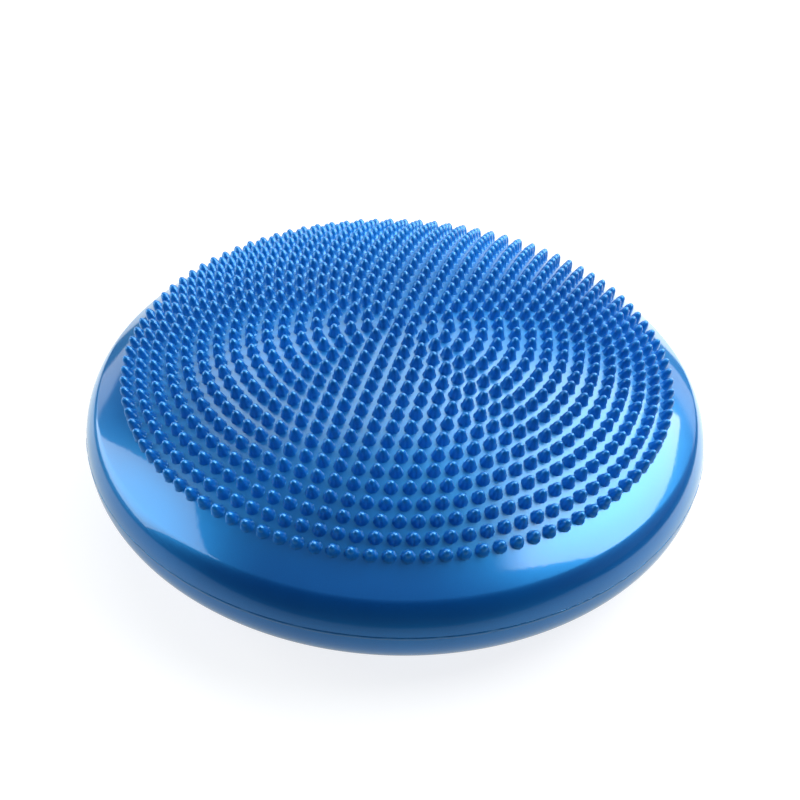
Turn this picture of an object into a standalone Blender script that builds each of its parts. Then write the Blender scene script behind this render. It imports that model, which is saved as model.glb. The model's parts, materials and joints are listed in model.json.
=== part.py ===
"""Wobble cushion: an inflated PVC balance disc with rings of massage nubs on its crown.

Run with: blender --background --python part.py
Units are metres, +Z is up and the origin is the centre of the patch that the disc rests on.
"""

import bisect
import math

import bmesh
import bpy
from mathutils import Matrix, Vector
from mathutils.geometry import delaunay_2d_cdt

# Bladder
DISC_RADIUS = 0.165
CROWN_HEIGHT = 0.0975
SEAM_HEIGHT = 0.038
REST_RADIUS = 0.0885
SKIN_WALL = 0.003
TURNED_SEGMENTS = 72

# Nubs stand on the crown in a centre point and NUB_RINGS rings, 6 more on each ring than on the last
NUB_RINGS = 17
NUBS_PER_STEP = 6
NUB_HEIGHT = 0.0063
NUB_BASE_RADIUS = 0.0031
NUB_FIELD_RADIUS = 0.1412
NUB_PHASE = math.radians(15.7)
FIELD_EDGE = NUB_FIELD_RADIUS + 0.0048
CURVE_STEPS = 4000

# Crown: its drop below the centre, as shares of NUB_FIELD_RADIUS, in even powers of the radius
CROWN_TERMS = (0.1642, 0.0331, 0.0183)
SHOULDER_RADIUS = 0.1576
SHOULDER_FULLNESS = 0.5
SHOULDER_STEPS = 8
FLANK_SQUARENESS = 2.3
FLANK_STEPS = 10
CROWN_INNER_STEPS = 7

# Parting bead, where the two halves of the bladder meet
BEAD_HEIGHT = 0.0016
BEAD_PROUD = 0.0004
GAP = 0.0003

# Valve, in the rear of the lower flank
VALVE_FLANK_ANGLE = math.radians(22)
SEAT_RADIUS = 0.0085
SEAT_PROUD = 0.0005
SEAT_DEPTH = 0.008
INSERT_RADIUS = 0.004
INSERT_DEPTH = 0.013
INSERT_LIP_RADIUS = 0.0055
LIP_DEPTH = 0.0012
NEEDLE_HOLE_RADIUS = 0.0016
STOPPER_STEM = 0.007
STOPPER_CAP_RADIUS = 0.0046
STOPPER_CAP_HEIGHT = 0.0011
STEM_TIP_SHARE = 0.7
HOLE_CLEARANCE = 0.001
INSERT_TAPER = (0.001, 0.002)
EDGE_BEVEL = 0.0006
VALVE_CUT_REACH = 0.02
VALVE_SEGMENTS = 28

SHARP_ANGLE = math.radians(35)
POLE_RADIUS = 1e-6


def crown_height_at(radius):
    share = (radius / NUB_FIELD_RADIUS) ** 2
    drop = sum(term * share ** (power + 1) for power, term in enumerate(CROWN_TERMS))
    return CROWN_HEIGHT - NUB_FIELD_RADIUS * drop


def crown_slope_at(radius):
    share = radius / NUB_FIELD_RADIUS
    return -sum(
        2 * (power + 1) * term * share ** (2 * power + 1)
        for power, term in enumerate(CROWN_TERMS)
    )


def shoulder_point(t):
    """A cubic from the end of the crown, t = 0, to the widest ring at the seam, t = 1."""
    start = Vector((SHOULDER_RADIUS, crown_height_at(SHOULDER_RADIUS)))
    end = Vector((DISC_RADIUS, SEAM_HEIGHT))
    leaving = Vector((1, crown_slope_at(SHOULDER_RADIUS))).normalized()
    first = start + leaving * SHOULDER_FULLNESS * (end.x - start.x)
    last = end + Vector((0, SHOULDER_FULLNESS * (start.y - end.y)))
    return (
        (1 - t) ** 3 * start
        + 3 * (1 - t) ** 2 * t * first
        + 3 * (1 - t) * t**2 * last
        + t**3 * end
    )


def flank_point(angle):
    """A superellipse quarter from the seam, angle 0, to the edge of the resting patch, angle 90 degrees."""
    power = 2 / FLANK_SQUARENESS
    return Vector(
        (
            REST_RADIUS + (DISC_RADIUS - REST_RADIUS) * max(math.cos(angle), 0) ** power,
            SEAM_HEIGHT * (1 - math.sin(angle) ** power),
        )
    )


def flank_normal(angle):
    step = 1e-3
    along = flank_point(angle + step) - flank_point(angle - step)
    return Vector((-along.y, along.x)).normalized()


def inset(points, distance):
    """The outline moved inwards by distance, square to itself; the points run downwards on the outside."""
    moved = []
    for i, point in enumerate(points):
        along = points[min(i + 1, len(points) - 1)] - points[max(i - 1, 0)]
        moved.append(point + Vector((along.y, -along.x)).normalized() * distance)
    return moved


def add_ring(mesh, radius, height, segments):
    """A ring of vertices, or the one vertex of a pole."""
    if radius < POLE_RADIUS:
        return [mesh.verts.new((0, 0, height))]
    turn = 2 * math.pi / segments
    return [
        mesh.verts.new((radius * math.cos(i * turn), radius * math.sin(i * turn), height))
        for i in range(segments)
    ]


def bridge(mesh, upper, lower):
    """Faces between two rings, or between a ring and a pole. Two poles are left apart."""
    count = max(len(upper), len(lower))
    if count == 1:
        return
    for i in range(count):
        j = (i + 1) % count
        corners = [
            upper[i % len(upper)],
            lower[i % len(lower)],
            lower[j % len(lower)],
            upper[j % len(upper)],
        ]
        mesh.faces.new(list(dict.fromkeys(corners)))


def finish(name, mesh, material):
    """The object of a closed bmesh, with its faces turned outwards."""
    bmesh.ops.recalc_face_normals(mesh, faces=mesh.faces)
    bmesh.ops.triangulate(mesh, faces=mesh.faces)
    data = bpy.data.meshes.new(name)
    mesh.to_mesh(data)
    mesh.free()
    data.shade_smooth()
    data.set_sharp_from_angle(angle=SHARP_ANGLE)
    data.materials.append(material)
    obj = bpy.data.objects.new(name, data)
    bpy.context.scene.collection.objects.link(obj)
    return obj


def turned(name, outline, segments, material):
    """A solid of revolution. The outline is a closed loop, which may meet the axis at two points."""
    mesh = bmesh.new()
    rings = [add_ring(mesh, radius, height, segments) for radius, height in outline]
    for upper, lower in zip(rings, rings[1:] + rings[:1]):
        bridge(mesh, upper, lower)
    return finish(name, mesh, material)


def principled(name, colour, roughness, metallic=0.0):
    material = bpy.data.materials.new(name)
    material.use_nodes = True
    shader = material.node_tree.nodes["Principled BSDF"]
    shader.inputs["Base Color"].default_value = (*colour, 1)
    shader.inputs["Roughness"].default_value = roughness
    shader.inputs["Metallic"].default_value = metallic
    material.diffuse_color = (*colour, 1)
    return material


def ring_radii():
    """Radii of the centre point and the rings, an even pitch apart when measured along the crown's curve."""
    radii = [NUB_FIELD_RADIUS * i / CURVE_STEPS for i in range(CURVE_STEPS + 1)]
    lengths = [0.0]
    for inner, outer in zip(radii, radii[1:]):
        rise = crown_slope_at((inner + outer) / 2)
        lengths.append(lengths[-1] + (outer - inner) * math.hypot(1, rise))
    pitch = lengths[-1] / NUB_RINGS
    nearest = (bisect.bisect_left(lengths, pitch * ring) for ring in range(NUB_RINGS))
    return [*(radii[i] for i in nearest), NUB_FIELD_RADIUS]


def nub_centres():
    yield Vector((0, 0))
    radii = ring_radii()
    for ring in range(1, NUB_RINGS + 1):
        radius = radii[ring]
        count = NUBS_PER_STEP * ring
        for i in range(count):
            angle = NUB_PHASE + 2 * math.pi * i / count
            yield radius * Vector((math.cos(angle), math.sin(angle)))


def nub_base(centre):
    """The three corners of a nub's foot, one of them pointing away from the disc's centre."""
    facing = math.atan2(centre.y, centre.x)
    angles = (facing + 2 * math.pi * i / 3 for i in range(3))
    return [centre + NUB_BASE_RADIUS * Vector((math.cos(a), math.sin(a))) for a in angles]


def nub_tip(centre):
    radius = centre.length
    outwards = centre.normalized() if radius > 0 else Vector((0, 0))
    slope = crown_slope_at(radius)
    normal = Vector((-slope * outwards.x, -slope * outwards.y, 1)).normalized()
    return Vector((*centre, crown_height_at(radius))) + NUB_HEIGHT * normal


def add_nub_field(mesh, edge):
    """The crown inside the ring of vertices edge, with a three-sided spike for each nub."""
    centres = list(nub_centres())
    flat = [Vector(vert.co[:2]) for vert in edge]
    for centre in centres:
        flat += nub_base(centre)
    first = len(edge)
    feet = [list(range(first + 3 * i, first + 3 * i + 3)) for i in range(len(centres))]
    rim = [(i, (i + 1) % first) for i in range(first)]
    inside_only = 1
    points, _, faces, _, _, sources = delaunay_2d_cdt(flat, rim, feet, inside_only, 1e-7)
    if len(points) != len(flat):
        raise ValueError("two nubs share a corner")
    verts = list(edge)
    verts += [mesh.verts.new((*p, crown_height_at(p.length))) for p in flat[first:]]
    for face, source in zip(faces, sources):
        if not source:
            mesh.faces.new([verts[i] for i in face])
    for centre, foot in zip(centres, feet):
        tip = mesh.verts.new(nub_tip(centre))
        for i in range(3):
            mesh.faces.new((tip, verts[foot[i]], verts[foot[(i + 1) % 3]]))


def make_upper_skin(material):
    """The domed half: nub field, rounded shoulder, then the inside of the wall back to its pole."""
    seam = SEAM_HEIGHT + BEAD_HEIGHT / 2 + GAP
    shoulder = [shoulder_point(i / SHOULDER_STEPS) for i in range(SHOULDER_STEPS)]
    outer = [Vector((FIELD_EDGE, crown_height_at(FIELD_EDGE))), *shoulder]
    outer.append(Vector((DISC_RADIUS, seam)))
    crown = [FIELD_EDGE * i / CROWN_INNER_STEPS for i in range(CROWN_INNER_STEPS)]
    inner = inset([*(Vector((r, crown_height_at(r))) for r in crown), *outer], SKIN_WALL)
    inner[0].x = 0
    inner[-1] = Vector((DISC_RADIUS - SKIN_WALL, seam))

    mesh = bmesh.new()
    outline = outer + inner[::-1]
    rings = [add_ring(mesh, p.x, p.y, TURNED_SEGMENTS) for p in outline]
    for upper, lower in zip(rings, rings[1:]):
        bridge(mesh, upper, lower)
    add_nub_field(mesh, rings[0])
    return finish("upper_skin", mesh, material)


def make_lower_skin(material):
    """The half that rests on the floor: rounded flank, flat patch, and the inside of the wall."""
    seam = SEAM_HEIGHT - BEAD_HEIGHT / 2 - GAP
    quarter = math.pi / 2
    flank = [flank_point(quarter * i / FLANK_STEPS) for i in range(1, FLANK_STEPS + 1)]
    outer = [Vector((DISC_RADIUS, seam)), *flank, Vector((0, 0))]
    inner = inset(outer, SKIN_WALL)
    inner[0] = Vector((DISC_RADIUS - SKIN_WALL, seam))
    inner[-1] = Vector((0, SKIN_WALL))
    return turned("lower_skin", outer + inner[::-1], TURNED_SEGMENTS, material)


def make_parting_bead(material):
    """The welded ring between the halves, a little proud of the skin, with a rounded outer face."""
    half = BEAD_HEIGHT / 2
    outer = [
        (DISC_RADIUS + BEAD_PROUD * math.cos(a), SEAM_HEIGHT + half * math.sin(a))
        for a in (math.radians(60), 0, math.radians(-60))
    ]
    top = (DISC_RADIUS - SKIN_WALL, SEAM_HEIGHT + half)
    bottom = (DISC_RADIUS - SKIN_WALL, SEAM_HEIGHT - half)
    skin_top = (DISC_RADIUS, SEAM_HEIGHT + half)
    skin_bottom = (DISC_RADIUS, SEAM_HEIGHT - half)
    outline = [top, skin_top, *outer, skin_bottom, bottom]
    return turned("parting_bead", outline, TURNED_SEGMENTS, material)


def valve_frame():
    """Placement of the valve: local +Z points out of the flank, at the rear of the disc (+Y)."""
    point = flank_point(VALVE_FLANK_ANGLE)
    normal = flank_normal(VALVE_FLANK_ANGLE)
    outwards = Vector((0, normal.x, normal.y))
    place = outwards.to_track_quat("Z", "X").to_matrix().to_4x4()
    return Matrix.Translation((0, point.x, point.y)) @ place


def cut_valve_hole(skin, place):
    """A round hole through the flank for the seat."""
    radius = SEAT_RADIUS + GAP
    reach = VALVE_CUT_REACH
    outline = [(0, reach), (radius, reach), (radius, -reach), (0, -reach)]
    cutter = turned("valve_hole_cutter", outline, VALVE_SEGMENTS, skin.data.materials[0])
    cutter.matrix_world = place
    cutter.hide_render = True
    cutter.display_type = "WIRE"
    cut = skin.modifiers.new("valve hole", "BOOLEAN")
    cut.operation = "DIFFERENCE"
    cut.object = cutter


def make_valve_seat(material):
    """A thick round boss, bored for the insert and countersunk for the insert's lip."""
    bore = INSERT_RADIUS + GAP
    sink = INSERT_LIP_RADIUS + GAP
    outline = [
        (bore, -SEAT_DEPTH),
        (bore, SEAT_PROUD - LIP_DEPTH - GAP),
        (sink, SEAT_PROUD - LIP_DEPTH - GAP),
        (sink, SEAT_PROUD),
        (SEAT_RADIUS - EDGE_BEVEL, SEAT_PROUD),
        (SEAT_RADIUS, SEAT_PROUD - EDGE_BEVEL),
        (SEAT_RADIUS, -SEAT_DEPTH),
    ]
    return turned("valve_seat", outline, VALVE_SEGMENTS, material)


def make_needle_valve(material):
    """The rubber insert: a lipped plug with a blind needle hole that its closed inner end seals."""
    hole_end = SEAT_PROUD - STOPPER_STEM - HOLE_CLEARANCE
    outline = [
        (0, -INSERT_DEPTH),
        (INSERT_RADIUS - INSERT_TAPER[0], -INSERT_DEPTH),
        (INSERT_RADIUS, -INSERT_DEPTH + INSERT_TAPER[1]),
        (INSERT_RADIUS, SEAT_PROUD - LIP_DEPTH),
        (INSERT_LIP_RADIUS, SEAT_PROUD - LIP_DEPTH),
        (INSERT_LIP_RADIUS, SEAT_PROUD),
        (NEEDLE_HOLE_RADIUS, SEAT_PROUD),
        (NEEDLE_HOLE_RADIUS, hole_end),
        (0, hole_end),
    ]
    return turned("needle_valve", outline, VALVE_SEGMENTS, material)


def make_valve_stopper(material):
    """A pull-out plug: a stem in the needle hole and a low cap with a rounded edge to catch a fingernail."""
    stem = NEEDLE_HOLE_RADIUS - GAP
    cap = SEAT_PROUD + GAP
    outline = [
        (0, SEAT_PROUD - STOPPER_STEM),
        (stem * STEM_TIP_SHARE, SEAT_PROUD - STOPPER_STEM),
        (stem, SEAT_PROUD - STOPPER_STEM + EDGE_BEVEL),
        (stem, cap),
        (STOPPER_CAP_RADIUS - EDGE_BEVEL, cap),
        (STOPPER_CAP_RADIUS, cap + STOPPER_CAP_HEIGHT / 2),
        (STOPPER_CAP_RADIUS - EDGE_BEVEL, cap + STOPPER_CAP_HEIGHT),
        (0, cap + STOPPER_CAP_HEIGHT),
    ]
    return turned("valve_stopper", outline, VALVE_SEGMENTS, material)


def main():
    for obj in list(bpy.data.objects):
        bpy.data.objects.remove(obj, do_unlink=True)

    pearl = principled("pearl_blue_skin", (0.03, 0.23, 0.62), 0.28, 0.35)
    bead_blue = principled("bead_blue", (0.03, 0.19, 0.55), 0.35, 0.2)
    seat_blue = principled("seat_blue", (0.02, 0.13, 0.4), 0.4)
    rubber = principled("valve_rubber", (0.02, 0.02, 0.022), 0.6)
    stopper_blue = principled("stopper_blue", (0.02, 0.09, 0.32), 0.35)

    make_upper_skin(pearl)
    lower_skin = make_lower_skin(pearl)
    make_parting_bead(bead_blue)

    place = valve_frame()
    cut_valve_hole(lower_skin, place)
    for piece in (make_valve_seat(seat_blue), make_needle_valve(rubber), make_valve_stopper(stopper_blue)):
        piece.matrix_world = place


main()
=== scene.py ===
import json
import math

import bpy
import numpy as np
from mathutils import Matrix, Vector


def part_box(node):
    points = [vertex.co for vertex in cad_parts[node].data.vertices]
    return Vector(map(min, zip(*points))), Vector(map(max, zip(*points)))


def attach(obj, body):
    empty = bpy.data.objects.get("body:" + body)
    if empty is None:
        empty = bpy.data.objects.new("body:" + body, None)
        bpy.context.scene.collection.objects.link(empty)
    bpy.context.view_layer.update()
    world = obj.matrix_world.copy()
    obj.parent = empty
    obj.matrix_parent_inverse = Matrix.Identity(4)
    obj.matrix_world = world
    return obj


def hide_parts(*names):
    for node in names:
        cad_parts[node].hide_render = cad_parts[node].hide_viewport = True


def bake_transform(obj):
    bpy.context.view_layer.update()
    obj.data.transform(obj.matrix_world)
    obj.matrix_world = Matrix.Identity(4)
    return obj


# Wobble cushion: fine skins, nubs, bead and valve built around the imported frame, in metres, +Z up.

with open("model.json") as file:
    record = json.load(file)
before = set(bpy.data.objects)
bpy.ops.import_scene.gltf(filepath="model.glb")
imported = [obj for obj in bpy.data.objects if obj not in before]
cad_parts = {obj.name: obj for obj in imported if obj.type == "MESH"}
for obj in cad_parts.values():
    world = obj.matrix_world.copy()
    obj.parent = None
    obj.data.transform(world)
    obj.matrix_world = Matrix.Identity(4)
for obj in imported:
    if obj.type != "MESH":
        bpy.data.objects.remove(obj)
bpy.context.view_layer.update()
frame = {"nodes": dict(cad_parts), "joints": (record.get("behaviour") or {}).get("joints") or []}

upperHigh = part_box("upper_skin")[1]
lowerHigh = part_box("lower_skin")[1]
beadLow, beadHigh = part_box("parting_bead")
seamGap = 0.00004                        # the skins all but touch the bead
sharpAngle = math.radians(50)            # edges bent more than this are shaded as corners

# the bladder's outline, taken from the frame where it can be
disc = {
    "radius": lowerHigh.x,
    "seamHeight": (beadLow.z + beadHigh.z) / 2,
    "beadHeight": beadHigh.z - beadLow.z,
    "upperSeam": beadHigh.z + seamGap,
    "lowerSeam": beadLow.z - seamGap,
    "nubHeight": 0.0063,
    "fieldRadius": 0.1412,               # centre to the outermost ring of nubs
    "crownTerms": (0.1642, 0.0331, 0.0183),
    "shoulderRadius": 0.1576,            # where the crown ends
    "shoulderFullness": 0.5,
    "restRadius": 0.0885,                # edge of the patch it rests on
    "flankSquareness": 2.3,
    "wall": 0.003,
    "turns": 288,                        # segments round the axis
    "crownSteps": 70,
    "shoulderSteps": 36,
    "flankSteps": 44,
    "innerStride": 3,                    # the hidden inside keeps every third point
}
disc["crownHeight"] = upperHigh.z - disc["nubHeight"]


# ---- shared shapes ----

def crownHeightAt(radius):
    # height falls by a sum of even powers of the radius, each with its own share
    share = (radius / disc["fieldRadius"]) ** 2
    drop = sum(term * share ** (power + 1) for power, term in enumerate(disc["crownTerms"]))
    return disc["crownHeight"] - disc["fieldRadius"] * drop


def crownSlopeAt(radius):
    # derivative of the height above
    share = radius / disc["fieldRadius"]
    return -sum(2 * (power + 1) * term * share ** (2 * power + 1)
                for power, term in enumerate(disc["crownTerms"]))


def crownCurve(count):
    # even steps of radius from the centre to the shoulder
    radius = np.linspace(0, disc["shoulderRadius"], count)
    return np.stack([radius, crownHeightAt(radius)], 1)


def shoulderCurve(count):
    # cubic Bezier from the end of the crown, along its slope, to a vertical tangent at the seam
    start = np.array([disc["shoulderRadius"], crownHeightAt(disc["shoulderRadius"])])
    end = np.array([disc["radius"], disc["seamHeight"]])
    leaving = np.array([1, crownSlopeAt(disc["shoulderRadius"])])
    leaving /= np.linalg.norm(leaving)
    first = start + leaving * disc["shoulderFullness"] * (end[0] - start[0])
    last = end + np.array([0, disc["shoulderFullness"] * (start[1] - end[1])])
    t = np.linspace(0, 1, count)[1:, None]
    curve = (1 - t) ** 3 * start + 3 * (1 - t) ** 2 * t * first + 3 * (1 - t) * t ** 2 * last + t ** 3 * end
    return np.concatenate([curve[curve[:, 1] > disc["upperSeam"]], [[disc["radius"], disc["upperSeam"]]]])


def flankCurve(count):
    # superellipse quarter from the seam down to the edge of the resting patch
    power = 2 / disc["flankSquareness"]
    angle = np.linspace(0, math.pi / 2, count)[1:]
    reach = disc["radius"] - disc["restRadius"]
    radius = disc["restRadius"] + reach * np.clip(np.cos(angle), 0, 1) ** power
    height = disc["seamHeight"] * (1 - np.sin(angle) ** power)
    curve = np.stack([radius, height], 1)
    return np.concatenate([[[disc["radius"], disc["lowerSeam"]]], curve[curve[:, 1] < disc["lowerSeam"]]])


def insetCurve(curve, distance):
    # every point moved inwards along the curve's own normal
    along = np.gradient(curve, axis=0)
    normal = np.stack([along[:, 1], -along[:, 0]], 1)
    normal /= np.linalg.norm(normal, axis=1, keepdims=True)
    return curve + normal * distance


def turnedMesh(name, outline, turns, wave=None):
    # a closed outline (radius, height) carried round the z axis: x = r cos a, y = r sin a.
    # Points on the axis become single poles, and wave(angle, index) may move the radius a little
    outline = np.asarray(outline, float)
    angle = np.linspace(0, 2 * math.pi, turns, endpoint=False)
    onAxis = outline[:, 0] < 1e-7
    ringRows = np.flatnonzero(~onAxis)
    radius = np.repeat(outline[ringRows, 0][:, None], turns, 1)
    if wave is not None:
        radius = radius + wave(angle[None, :], ringRows[:, None])
    height = np.repeat(outline[ringRows, 1][:, None], turns, 1)
    rings = np.stack([radius * np.cos(angle), radius * np.sin(angle), height], -1).reshape(-1, 3)
    poles = np.stack([outline[onAxis, 0], outline[onAxis, 0], outline[onAxis, 1]], 1)
    coords = np.concatenate([rings, poles])
    rowStart = np.full(len(outline), -1)
    rowStart[ringRows] = np.arange(len(ringRows)) * turns
    poleIndex = np.full(len(outline), -1)
    poleIndex[onAxis] = len(rings) + np.arange(onAxis.sum())
    here, after = np.arange(turns), (np.arange(turns) + 1) % turns
    quads, triangles = [], []
    for row in range(len(outline)):
        nextRow = (row + 1) % len(outline)
        if onAxis[row] and onAxis[nextRow]:
            continue
        if onAxis[row]:
            top = np.full(turns, poleIndex[row])
            triangles.append(np.stack([top, rowStart[nextRow] + here, rowStart[nextRow] + after], 1))
        elif onAxis[nextRow]:
            low = np.full(turns, poleIndex[nextRow])
            triangles.append(np.stack([rowStart[row] + after, rowStart[row] + here, low], 1))
        else:
            quads.append(np.stack([rowStart[row] + after, rowStart[row] + here,
                                   rowStart[nextRow] + here, rowStart[nextRow] + after], 1))
    return meshObject(name, coords, np.concatenate(quads), np.concatenate(triangles) if triangles else None)


def meshObject(name, coords, quads, triangles=None):
    # vertices, quads and triangles put into a new mesh in whole arrays
    mesh = bpy.data.meshes.new(name)
    loops = quads.ravel()
    sizes = np.full(len(quads), 4)
    if triangles is not None:
        loops = np.concatenate([loops, triangles.ravel()])
        sizes = np.concatenate([sizes, np.full(len(triangles), 3)])
    mesh.vertices.add(len(coords))
    mesh.vertices.foreach_set("co", np.asarray(coords, np.float32).ravel())
    mesh.loops.add(len(loops))
    mesh.loops.foreach_set("vertex_index", loops.astype(np.int32))
    mesh.polygons.add(len(sizes))
    mesh.polygons.foreach_set("loop_start", (np.cumsum(sizes) - sizes).astype(np.int32))
    mesh.update(calc_edges=True)
    mesh.validate()
    mesh.shade_smooth()
    mesh.set_sharp_from_angle(angle=sharpAngle)
    obj = bpy.data.objects.new(name, mesh)
    bpy.context.scene.collection.objects.link(obj)
    return obj


# ---- materials ----

def newMaterial(name):
    material = bpy.data.materials.new(name)
    material.use_nodes = True
    tree = material.node_tree
    return material, tree, tree.nodes["Principled BSDF"]


def addNode(tree, kind, **settings):
    node = tree.nodes.new(kind)
    for key, value in settings.items():
        if key in node.inputs:
            node.inputs[key].default_value = value
        else:
            setattr(node, key, value)
    return node


pearlSkin = {
    "deep": (0.001, 0.076, 0.420, 1),
    "light": (0.002, 0.126, 0.550, 1),
    "metallic": 0.45,
    "roughness": 0.34,
    "flakeTint": (0.14, 0.92, 0.82, 1),   # the pearl flakes shine more cyan than the pigment under them
    "flakeIor": 2.6,
    "coat": 1.0,
    "coatRoughness": 0.06,
    "grain": 2600,          # pearl flakes per metre
    "cloud": 14,            # slow colour drift across the disc
    "orangePeel": 0.00004,  # metres of bump
}
# the crown is softer between the nubs
crownFinish = dict(pearlSkin, deep=(0.001, 0.105, 0.430, 1), light=(0.002, 0.165, 0.570, 1),
                   metallic=0.3, roughness=0.46, flakeIor=2.1, coat=1.0, coatRoughness=0.23)
nubFinish = dict(pearlSkin, deep=(0.003, 0.115, 0.480, 1), light=(0.004, 0.180, 0.650, 1),
                 metallic=0.2, roughness=0.36, flakeIor=1.9, coat=0.7, coatRoughness=0.16)
beadFinish = dict(pearlSkin, deep=(0.002, 0.060, 0.320, 1), light=(0.003, 0.090, 0.420, 1),
                  coatRoughness=0.1)
undersideFinish = dict(pearlSkin, roughness=0.40, coatRoughness=0.08)


pearlTexture = {
    "flakeShare": 0.35,
    "cloudShare": 0.65,
    "rampFrom": 0.36,
    "rampTo": 0.64,
    "roughnessSpread": 0.03,
    "peelScale": 420.0,
    "peelStrength": 0.35,
}


def pearlMaterial(name, finish):
    # pearl PVC: fine flake noise and a slow cloud mix two blues, under a clear coat with faint orange peel
    material, tree, shader = newMaterial(name)
    link = tree.links.new
    where = addNode(tree, "ShaderNodeTexCoord")
    flakes = addNode(tree, "ShaderNodeTexNoise", Scale=finish["grain"], Detail=2.0, Roughness=0.6)
    clouds = addNode(tree, "ShaderNodeTexNoise", Scale=finish["cloud"], Detail=3.0, Roughness=0.5)
    link(where.outputs["Object"], flakes.inputs["Vector"])
    link(where.outputs["Object"], clouds.inputs["Vector"])
    both = addNode(tree, "ShaderNodeMath", operation="MULTIPLY_ADD")
    both.inputs[1].default_value = pearlTexture["flakeShare"]
    link(flakes.outputs["Fac"], both.inputs[0])
    scaled = addNode(tree, "ShaderNodeMath", operation="MULTIPLY")
    scaled.inputs[1].default_value = pearlTexture["cloudShare"]
    link(clouds.outputs["Fac"], scaled.inputs[0])
    link(scaled.outputs["Value"], both.inputs[2])
    ramp = addNode(tree, "ShaderNodeValToRGB")
    ramp.color_ramp.elements[0].position = pearlTexture["rampFrom"]
    ramp.color_ramp.elements[0].color = finish["deep"]
    ramp.color_ramp.elements[1].position = pearlTexture["rampTo"]
    ramp.color_ramp.elements[1].color = finish["light"]
    link(both.outputs["Value"], ramp.inputs["Fac"])
    link(ramp.outputs["Color"], shader.inputs["Base Color"])
    shine = addNode(tree, "ShaderNodeMapRange")
    shine.inputs["To Min"].default_value = finish["roughness"] - pearlTexture["roughnessSpread"]
    shine.inputs["To Max"].default_value = finish["roughness"] + pearlTexture["roughnessSpread"]
    link(clouds.outputs["Fac"], shine.inputs["Value"])
    link(shine.outputs["Result"], shader.inputs["Roughness"])
    peel = addNode(tree, "ShaderNodeTexNoise", Scale=pearlTexture["peelScale"], Detail=1.5)
    link(where.outputs["Object"], peel.inputs["Vector"])
    bump = addNode(tree, "ShaderNodeBump", Strength=pearlTexture["peelStrength"],
                   Distance=finish["orangePeel"])
    link(peel.outputs["Fac"], bump.inputs["Height"])
    link(bump.outputs["Normal"], shader.inputs["Normal"])
    link(bump.outputs["Normal"], shader.inputs["Coat Normal"])
    shader.inputs["Metallic"].default_value = finish["metallic"]
    shader.inputs["IOR"].default_value = finish["flakeIor"]
    shader.inputs["Specular Tint"].default_value = finish["flakeTint"]
    shader.inputs["Coat Weight"].default_value = finish["coat"]
    shader.inputs["Coat Roughness"].default_value = finish["coatRoughness"]
    return material


valveFinishes = {
    "seat": {"colour": (0.010, 0.085, 0.320, 1), "roughness": 0.42, "grain": 900.0, "relief": 0.00005},
    "valve_rubber": {"colour": (0.012, 0.012, 0.014, 1), "roughness": 0.62, "grain": 1500.0,
                     "relief": 0.00008},
    "stopper": {"colour": (0.008, 0.055, 0.240, 1), "roughness": 0.34, "grain": 1200.0, "relief": 0.00003},
}


mouldedTexture = {"darker": 0.8, "lighter": 1.25, "roughnessSpread": 0.08, "bump": 0.6}


def mouldedMaterial(name, finish):
    # plain moulded plastic or rubber: speckled roughness and a fine grain
    material, tree, shader = newMaterial(name)
    link = tree.links.new
    where = addNode(tree, "ShaderNodeTexCoord")
    grain = addNode(tree, "ShaderNodeTexNoise", Scale=finish["grain"], Detail=3.0)
    link(where.outputs["Object"], grain.inputs["Vector"])
    tone = addNode(tree, "ShaderNodeValToRGB")
    for element, share in zip(tone.color_ramp.elements, (mouldedTexture["darker"], mouldedTexture["lighter"])):
        element.color = tuple(share * c for c in finish["colour"][:3]) + (1,)
    link(grain.outputs["Fac"], tone.inputs["Fac"])
    link(tone.outputs["Color"], shader.inputs["Base Color"])
    shine = addNode(tree, "ShaderNodeMapRange")
    spread = mouldedTexture["roughnessSpread"]
    shine.inputs["To Min"].default_value = finish["roughness"] - spread
    shine.inputs["To Max"].default_value = finish["roughness"] + spread
    link(grain.outputs["Fac"], shine.inputs["Value"])
    link(shine.outputs["Result"], shader.inputs["Roughness"])
    bump = addNode(tree, "ShaderNodeBump", Strength=mouldedTexture["bump"], Distance=finish["relief"])
    link(grain.outputs["Fac"], bump.inputs["Height"])
    link(bump.outputs["Normal"], shader.inputs["Normal"])
    return material


# ---- the two skins ----

skinWave = {"amount": 0.00012, "from": 0.149, "lobes": (3, 5, 11), "phases": (0.4, 1.9, 0.8)}


def makeUpperSkin():
    # crown and shoulder outside, the same curve inset by the wall inside, closed across the seam
    crown = crownCurve(disc["crownSteps"])
    shoulder = shoulderCurve(disc["shoulderSteps"])
    outer = np.concatenate([crown, shoulder])
    inner = insetCurve(outer, disc["wall"])[::disc["innerStride"]]
    inner[0, 0] = 0
    inner = np.concatenate([inner[:-1], [[disc["radius"] - disc["wall"], disc["upperSeam"]]]])
    outline = np.concatenate([outer, inner[::-1]])
    weight = np.zeros(len(outline))
    reach = (outer[:, 0] - skinWave["from"]) / (disc["radius"] - skinWave["from"])
    weight[:len(outer)] = np.sin(np.pi * np.clip(reach, 0, 1))

    def slightWave(angle, row):
        # a moulded rim is never quite round: a few slow sine lobes, none at the seam or on the crown
        lobes = sum(np.sin(n * angle + p) for n, p in zip(skinWave["lobes"], skinWave["phases"]))
        return skinWave["amount"] * weight[row] * lobes

    skin = turnedMesh("upper_skin_pearl", outline, disc["turns"], slightWave)
    skin.data.materials.append(pearlMaterial("pearl_blue_pvc", pearlSkin))
    skin.data.materials.append(pearlMaterial("pearl_blue_crown", crownFinish))
    softenCrown(skin.data)
    return skin


def softenCrown(mesh):
    # faces within the field of nubs take the second, softer finish
    centres = np.empty(len(mesh.polygons) * 3, np.float32)
    mesh.polygons.foreach_get("center", centres)
    within = np.hypot(centres[0::3], centres[1::3]) < disc["fieldRadius"]
    mesh.polygons.foreach_set("material_index", within.astype(np.int32))


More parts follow.
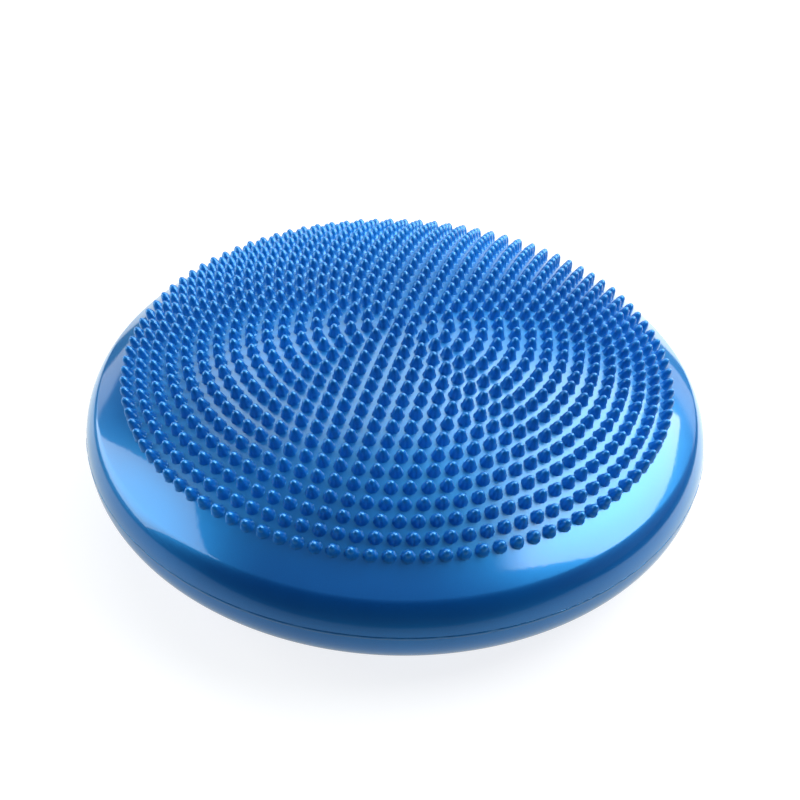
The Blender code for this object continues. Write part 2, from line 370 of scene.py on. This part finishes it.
underside = {
    "grooves": 7,
    "innerRadius": 0.022,
    "pitch": 0.0088,
    "halfWidth": 0.0013,
    "depth": 0.0007,
    "samples": 5,
    "edgeInset": 0.001,
    "centreRadius": 0.010,
    "insideRadii": (0.08, 0.04, 0),
}


def undersideCurve():
    # flat patch read from its edge to the axis, with round-bottomed anti-slip grooves at an even pitch
    grooves = underside["innerRadius"] + underside["pitch"] * np.arange(underside["grooves"])
    step = np.linspace(-1, 1, underside["samples"] * 2 + 1)
    radius = (grooves[:, None] + underside["halfWidth"] * step).ravel()
    height = np.tile(underside["depth"] * np.cos(step * math.pi / 2) ** 2, len(grooves))
    points = np.stack([radius, height], 1)[::-1]
    edge = np.array([[disc["restRadius"] - underside["edgeInset"], 0]])
    return np.concatenate([edge, points, [[underside["centreRadius"], 0], [0, 0]]])


def makeLowerSkin():
    # flank and patch outside, wall inside, closed across the seam
    flank = flankCurve(disc["flankSteps"])
    outer = np.concatenate([flank, undersideCurve()])
    innerSource = np.concatenate([flank, [[radius, 0] for radius in underside["insideRadii"]]])
    inner = insetCurve(innerSource, disc["wall"])[::-1]
    inner = np.concatenate([[[0, disc["wall"]]], inner[1:-1:disc["innerStride"]],
                            [[disc["radius"] - disc["wall"], disc["lowerSeam"]]]])
    skin = turnedMesh("lower_skin_pearl", np.concatenate([outer, inner]), disc["turns"])
    skin.data.materials.append(pearlMaterial("pearl_blue_pvc_underside", undersideFinish))
    return skin


valve = {"holeRadius": 0.0083, "cutDepth": 0.012, "turns": 48}


def valvePlacement():
    # centre of the stopper's flat cap and its slide axis, both from the frame
    axis = Vector(next(j for j in frame["joints"] if j["name"] == "stopper_pull")["axis"])
    low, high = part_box("valve_stopper")
    return (low + high) / 2, axis


def cutValveHole(skin):
    # a plain round hole for the seat, cut by a cylinder along the valve's axis
    centre, axis = valvePlacement()
    length = valve["cutDepth"]
    outline = [(0, length), (valve["holeRadius"], length), (valve["holeRadius"], -length), (0, -length)]
    cutter = turnedMesh("valve_cutter", outline, valve["turns"])
    cutter.matrix_world = Matrix.Translation(centre) @ axis.to_track_quat("Z", "X").to_matrix().to_4x4()
    cut = skin.modifiers.new("valve hole", "BOOLEAN")
    cut.operation = "DIFFERENCE"
    cut.object = cutter
    bpy.context.view_layer.update()
    graph = bpy.context.evaluated_depsgraph_get()
    holed = bpy.data.meshes.new_from_object(skin.evaluated_get(graph))
    skin.modifiers.clear()
    skin.data = holed
    bpy.data.objects.remove(cutter)


# ---- nubs ----

nubs = {
    "rings": 17,
    "step": 6,              # more nubs on each ring than on the last
    "phase": math.radians(15.7),
    "baseRadius": 0.00288,
    "sides": 10,
    "levels": (-0.05, 0.07, 0.45, 0.77, 0.95),   # shares of the height
    "flare": 0.22,
    "flareTop": 0.15,       # share of the height where the flare ends
    "flareLimit": 1.35,
    "curveSamples": 4001,
    "bulge": 2.3,           # higher keeps the sides upright for longer
    "roundness": 0.52,      # lower makes a blunter tip
    "heightSpread": 0.025,
    "leanSpread": 0.022,
    "seed": 11,
    "margin": 0.004,        # clear skin past the outermost ring before the rim bends
}


def nubCentres():
    # a centre point, then ring k with 6k nubs at even angles. The rings are an even pitch apart along
    # the crown's own curve, so its length is summed up and the radii are read off at even shares of it
    rings, step = nubs["rings"], nubs["step"]
    radii = np.linspace(0, disc["fieldRadius"], nubs["curveSamples"])
    middle = (radii[1:] + radii[:-1]) / 2
    length = np.concatenate([[0], np.cumsum(np.diff(radii) * np.hypot(1, crownSlopeAt(middle)))])
    ringRadius = np.interp(np.arange(rings + 1) / rings * length[-1], length, radii)
    ring = np.repeat(np.arange(1, rings + 1), step * np.arange(1, rings + 1))
    start = np.repeat(step * np.arange(rings) * np.arange(1, rings + 1) // 2, step * np.arange(1, rings + 1))
    angle = nubs["phase"] + 2 * math.pi * (np.arange(len(ring)) - start) / (step * ring)
    return np.concatenate([[0], ringRadius[ring]]), np.concatenate([[0], angle])


def makeNubs():
    # each nub is a bullet turned on ten sides: its radius is (1 - height^bulge)^roundness, flared at
    # the foot
    radius, angle = nubCentres()
    count = len(radius)
    rng = np.random.default_rng(nubs["seed"])
    tall = disc["nubHeight"] * (1 + nubs["heightSpread"] * rng.uniform(-1, 1, count))
    lean = nubs["leanSpread"] * rng.uniform(-1, 1, (count, 2))

    slope = crownSlopeAt(radius)
    outwards = np.stack([np.cos(angle), np.sin(angle), np.zeros(count)], 1)
    normal = np.stack([-slope * outwards[:, 0], -slope * outwards[:, 1], np.ones(count)], 1)
    normal /= np.linalg.norm(normal, axis=1, keepdims=True)
    around = np.stack([-outwards[:, 1], outwards[:, 0], np.zeros(count)], 1)
    along = np.cross(around, normal)
    foot = np.stack([radius * outwards[:, 0], radius * outwards[:, 1], crownHeightAt(radius)], 1)
    rise = normal + lean[:, :1] * along + lean[:, 1:] * around

    level = np.array(nubs["levels"])
    width = (1 - np.clip(level, 0, 1) ** nubs["bulge"]) ** nubs["roundness"]
    width = width + nubs["flare"] * np.clip(1 - level / nubs["flareTop"], 0, nubs["flareLimit"]) ** 2
    turn = np.linspace(0, 2 * math.pi, nubs["sides"], endpoint=False)
    ringDirection = (along[:, None, None, :] * np.cos(turn)[None, None, :, None]
                     + around[:, None, None, :] * np.sin(turn)[None, None, :, None])
    sidesCoords = (foot[:, None, None, :]
                   + rise[:, None, None, :] * (level[None, :, None, None] * tall[:, None, None, None])
                   + ringDirection * (nubs["baseRadius"] * width)[None, :, None, None])
    tips = foot + rise * tall[:, None]
    sunk = foot + rise * (level[0] * tall)[:, None]
    perNub = np.concatenate([sidesCoords.reshape(count, -1, 3), tips[:, None], sunk[:, None]], 1)

    sides, levels = nubs["sides"], len(level)
    here, after = np.arange(sides), (np.arange(sides) + 1) % sides
    rows = np.arange(levels - 1)[:, None] * sides
    quads = np.stack([rows + here, rows + after, rows + sides + after, rows + sides + here], -1)
    quads = quads.reshape(-1, 4)
    last = (levels - 1) * sides
    tipFan = np.stack([last + here, last + after, np.full(sides, levels * sides)], 1)
    footFan = np.stack([after, here, np.full(sides, levels * sides + 1)], 1)
    triangles = np.concatenate([tipFan, footFan])
    offset = (np.arange(count) * perNub.shape[1])[:, None, None]
    piece = meshObject("massage_nubs", perNub.reshape(-1, 3),
                       (quads[None] + offset).reshape(-1, 4), (triangles[None] + offset).reshape(-1, 3))
    piece.data.materials.append(pearlMaterial("royal_blue_nubs", nubFinish))
    return piece


# ---- parting bead ----

bead = {
    "proud": 0.00025,
    "steps": 7,
    "fray": 0.00015,
    # (share, waves, phase, waves, phase): each term is a product of two sines round the seam
    "ragged": ((1.0, 61, 0, 17, 1), (0.6, 139, 2, 9, 0)),
}


def makeBead():
    # a half-round lip on the seam with a slightly ragged edge, as flash trimmed by hand leaves
    half = disc["beadHeight"] / 2
    arc = np.linspace(math.pi / 2, -math.pi / 2, bead["steps"])
    lip = np.stack([disc["radius"] + bead["proud"] * np.cos(arc), disc["seamHeight"] + half * np.sin(arc)], 1)
    insideRadius = disc["radius"] - disc["wall"]
    outline = np.concatenate([[[insideRadius, disc["seamHeight"] + half]], lip,
                              [[insideRadius, disc["seamHeight"] - half]]])
    weight = np.zeros(len(outline))
    weight[2:-2] = 1

    def fray(angle, row):
        # several quick sines added up, so that the edge never repeats within a hand's width
        ragged = sum(share * np.sin(quick * angle + first) * np.sin(slow * angle + second)
                     for share, quick, first, slow, second in bead["ragged"])
        return -bead["fray"] * weight[row] * np.clip(ragged, 0, 2)

    piece = turnedMesh("parting_bead_fine", outline, 2 * disc["turns"], fray)
    piece.data.materials.append(pearlMaterial("bead_blue_pvc", beadFinish))
    return piece


# ---- stage ----

studio = {
    "aim": (0.0017, 0.0, 0.0475),
    "distance": 0.8358,
    "elevation": math.radians(38.17),
    "roll": math.radians(2.25),
    "lens": 70.0,
    "sensor": 36.0,
    "floorRadius": 6.0,
    "floorTone": (0.30, 0.30, 0.30, 1),
    "floorGlow": 0.82,
    "floorSpecular": 0.1,
    "floorRoughness": 0.7,
    "floorInner": 0.5,
    "floorThickness": 0.02,
    "tableHalfWidth": 0.36,
    "tableEdge": 0.03,
    "paintedLitSideGain": 1.7,          # painted light: in reflections the table glows this much more at its right edge
    "toneReach": 0.5,
    # what reflections see of the floor, a painted reflection: (y, tone) of a white table, with painted shade
    # at the front and dark past its edge
    "paintedShadeTones": ((-0.285, 0.02), (-0.265, 0.24), (-0.10, 0.62), (0.10, 1.25)),
}

softboxes = [
    # at and facing place the panel, across is the direction of its first side, and fade gives where
    # along its second side it is dark and where it reaches its full strength
    {"name": "key_right", "at": (0.94, 0.17, 1.0), "facing": (0.0, -0.635, -0.772),
     "across": (-0.47, 0.68, -0.56), "size": (1.6, 1.33), "watts": 36, "fade": (1.0, 0.74)},
    {"name": "fill_left", "at": (-1.11, 0.11, 0.5), "facing": (0.97, 0.15, 0.17),
     "across": (0.20, -0.92, -0.34), "size": (0.9, 1.6), "watts": 12.8},
    {"name": "top_rear", "at": (-0.20, 0.75, 1.05), "facing": (0.15, -0.58, -0.80),
     "across": (1.0, 0.0, 0.0), "size": (1.2, 0.7), "watts": 8},
]

surroundings = {
    "front": (0.010, 0.011, 0.013, 1),
    "rear": (0.17, 0.18, 0.19, 1),
    "litSide": (0.6, 0.8, 0.0),          # the room brightens this way
    "ceiling": (0.17, 0.33, 0.46, 1),
    "backdrop": (1.25, 1.28, 1.3, 1),   # a low white board behind the object
    "boardTop": 0.15,                    # its height and reach, as components of direction
    "boardReach": 0.60,
    "boardSoftness": (0.03, 0.05),
    "sideRamp": (-0.2, 0.7),
    "ceilingRamp": (0.55, 1.0),
    "seen": (1.0, 1.0, 1.0, 1),
}


def addCamera():
    target = Vector(studio["aim"])
    away = Vector((0, -math.cos(studio["elevation"]), math.sin(studio["elevation"])))
    data = bpy.data.cameras.new("camera")
    data.lens = studio["lens"]
    data.sensor_width = studio["sensor"]
    camera = bpy.data.objects.new("camera", data)
    facing = away.to_track_quat("Z", "Y").to_matrix().to_4x4()
    camera.matrix_world = (Matrix.Translation(target + studio["distance"] * away) @ facing
                           @ Matrix.Rotation(studio["roll"], 4, "Z"))
    bpy.context.scene.collection.objects.link(camera)
    bpy.context.scene.camera = camera


def addSoftbox(box):
    data = bpy.data.lights.new(box["name"], "AREA")
    data.shape = "RECTANGLE"
    data.size, data.size_y = box["size"]
    data.energy = box["watts"]
    if "fade" in box:
        fadePanel(data, *box["fade"])
    lamp = bpy.data.objects.new(box["name"], data)
    back = -Vector(box["facing"]).normalized()
    across = Vector(box["across"])
    across = (across - across.dot(back) * back).normalized()
    turn = Matrix((across, back.cross(across), back)).transposed().to_4x4()
    lamp.matrix_world = Matrix.Translation(box["at"]) @ turn
    bpy.context.scene.collection.objects.link(lamp)


def softStep(tree, source, low, high):
    # 0 below low, 1 above high, smooth between
    step = addNode(tree, "ShaderNodeMapRange", interpolation_type="SMOOTHSTEP")
    step.inputs["From Min"].default_value = low
    step.inputs["From Max"].default_value = high
    tree.links.new(source, step.inputs["Value"])
    return step.outputs["Result"]


def mathNode(tree, operation, first, second=None):
    node = addNode(tree, "ShaderNodeMath", operation=operation)
    for socket, source in zip(node.inputs, (first, second)):
        if isinstance(source, (int, float)):
            socket.default_value = source
        elif source is not None:
            tree.links.new(source, socket)
    return node.outputs["Value"]


def fadePanel(lampData, dark, full):
    # the panel's own second coordinate, 0 to 1, sets how bright it is there
    lampData.use_nodes = True
    tree = lampData.node_tree
    place = addNode(tree, "ShaderNodeNewGeometry")
    sides = addNode(tree, "ShaderNodeSeparateXYZ")
    tree.links.new(place.outputs["Parametric"], sides.inputs[0])
    tree.links.new(softStep(tree, sides.outputs["Y"], dark, full), tree.nodes["Emission"].inputs["Strength"])


def addFloor():
    edge, below = studio["floorRadius"], -studio["floorThickness"]
    outline = [(0, 0), (studio["floorInner"], 0), (edge, 0), (edge, below), (0, below)]
    floor = turnedMesh("floor", outline, 96)
    material, tree, shader = newMaterial("pale_floor")
    link = tree.links.new
    shader.inputs["Base Color"].default_value = studio["floorTone"]
    shader.inputs["Roughness"].default_value = studio["floorRoughness"]
    shader.inputs["Specular IOR Level"].default_value = studio["floorSpecular"]
    shader.inputs["Emission Color"].default_value = (1, 1, 1, 1)
    shader.inputs["Emission Strength"].default_value = studio["floorGlow"]
    # in reflections the floor is a painted reflection: a white table with soft edges in a darker room, with
    # painted shade at its front and painted light on its right side
    where = addNode(tree, "ShaderNodeTexCoord")
    axes = addNode(tree, "ShaderNodeSeparateXYZ")
    link(where.outputs["Object"], axes.inputs[0])
    sideways = mathNode(tree, "ABSOLUTE", axes.outputs["X"])
    half, soft, reach = studio["tableHalfWidth"], studio["tableEdge"], studio["toneReach"]
    within = mathNode(tree, "SUBTRACT", 1.0, softStep(tree, sideways, half - soft, half + soft))
    # painted shade: along y the table's glow in reflections falls off towards the front
    place = addNode(tree, "ShaderNodeMapRange")
    place.inputs["From Min"].default_value = -reach
    place.inputs["From Max"].default_value = reach
    link(axes.outputs["Y"], place.inputs["Value"])
    paintedShadeRamp = addNode(tree, "ShaderNodeValToRGB")
    while len(paintedShadeRamp.color_ramp.elements) < len(studio["paintedShadeTones"]):
        paintedShadeRamp.color_ramp.elements.new(0.5)
    for element, (y, tone) in zip(paintedShadeRamp.color_ramp.elements, studio["paintedShadeTones"]):
        element.position = (y + reach) / (2 * reach)
        element.color = (tone, tone, tone, 1)
    link(place.outputs["Result"], paintedShadeRamp.inputs["Fac"])
    paintedLitSide = addNode(tree, "ShaderNodeMapRange")      # painted light: the lit side of the table glows more in reflections
    paintedLitSide.inputs["From Max"].default_value = half
    paintedLitSide.inputs["To Min"].default_value = 1.0
    paintedLitSide.inputs["To Max"].default_value = studio["paintedLitSideGain"]
    link(axes.outputs["X"], paintedLitSide.inputs["Value"])
    paintedShadeAndLight = mathNode(tree, "MULTIPLY", paintedLitSide.outputs["Result"], paintedShadeRamp.outputs["Color"])
    paintedTableReflection = addNode(tree, "ShaderNodeEmission")
    link(mathNode(tree, "MULTIPLY", within, paintedShadeAndLight), paintedTableReflection.inputs["Strength"])
    rays = addNode(tree, "ShaderNodeLightPath")
    both = addNode(tree, "ShaderNodeMixShader")
    link(rays.outputs["Is Glossy Ray"], both.inputs[0])
    link(shader.outputs[0], both.inputs[1])
    link(paintedTableReflection.outputs[0], both.inputs[2])
    link(both.outputs[0], tree.nodes["Material Output"].inputs["Surface"])
    floor.data.materials.append(material)


def addWorld():
    # a dim room, darker towards the front left, with a pale ceiling and a low white board behind. The
    # camera itself sees plain white
    world = bpy.data.worlds.new("studio")
    world.use_nodes = True
    tree = world.node_tree
    link = tree.links.new
    where = addNode(tree, "ShaderNodeTexCoord")
    axes = addNode(tree, "ShaderNodeSeparateXYZ")
    link(where.outputs["Generated"], axes.inputs[0])
    room = addNode(tree, "ShaderNodeMix", data_type="RGBA")
    towards = addNode(tree, "ShaderNodeVectorMath", operation="DOT_PRODUCT")
    towards.inputs[1].default_value = surroundings["litSide"]
    link(where.outputs["Generated"], towards.inputs[0])
    link(softStep(tree, towards.outputs["Value"], *surroundings["sideRamp"]), room.inputs[0])
    room.inputs[6].default_value = surroundings["front"]
    room.inputs[7].default_value = surroundings["rear"]
    lit = addNode(tree, "ShaderNodeMix", data_type="RGBA")
    link(softStep(tree, axes.outputs["Z"], *surroundings["ceilingRamp"]), lit.inputs[0])
    link(room.outputs[2], lit.inputs[6])
    lit.inputs[7].default_value = surroundings["ceiling"]
    top, reach = surroundings["boardTop"], surroundings["boardReach"]
    upSoft, sideSoft = surroundings["boardSoftness"]
    above = softStep(tree, axes.outputs["Z"], top - upSoft, top + upSoft)
    low = mathNode(tree, "SUBTRACT", 1.0, above)
    behind = softStep(tree, axes.outputs["Y"], reach - sideSoft, reach + sideSoft)
    onBoard = mathNode(tree, "MULTIPLY", low, behind)
    board = addNode(tree, "ShaderNodeMix", data_type="RGBA")
    link(onBoard, board.inputs[0])
    link(lit.outputs[2], board.inputs[6])
    board.inputs[7].default_value = surroundings["backdrop"]
    rays = addNode(tree, "ShaderNodeLightPath")
    seen = addNode(tree, "ShaderNodeMix", data_type="RGBA")
    link(rays.outputs["Is Camera Ray"], seen.inputs[0])
    link(board.outputs[2], seen.inputs[6])
    seen.inputs[7].default_value = surroundings["seen"]
    link(seen.outputs[2], tree.nodes["Background"].inputs["Color"])
    bpy.context.scene.world = world


# ---- build ----

addCamera()
addWorld()
addFloor()
for box in softboxes:
    addSoftbox(box)
bpy.context.scene.view_settings.view_transform = "Standard"
print("stage ready")

upperSkin = makeUpperSkin()
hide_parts("upper_skin")
print("upper skin", len(upperSkin.data.polygons), "faces")

nubField = makeNubs()
print("nubs", len(nubField.data.polygons), "faces")

lowerSkin = makeLowerSkin()
cutValveHole(lowerSkin)
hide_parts("lower_skin")
print("lower skin", len(lowerSkin.data.polygons), "faces")

beadPiece = makeBead()
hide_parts("parting_bead")
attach(beadPiece, "waist")

valveSlots = {"valve_seat": "seat", "needle_valve": "valve_rubber", "valve_stopper": "stopper"}
for node, slotName in valveSlots.items():
    obj = frame["nodes"][node]
    obj.data.materials.clear()
    obj.data.materials.append(mouldedMaterial(node + "_finish", valveFinishes[slotName]))
print("valve finished")

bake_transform(lowerSkin)
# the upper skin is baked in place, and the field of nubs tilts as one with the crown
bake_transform(upperSkin)
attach(nubField, "crown")
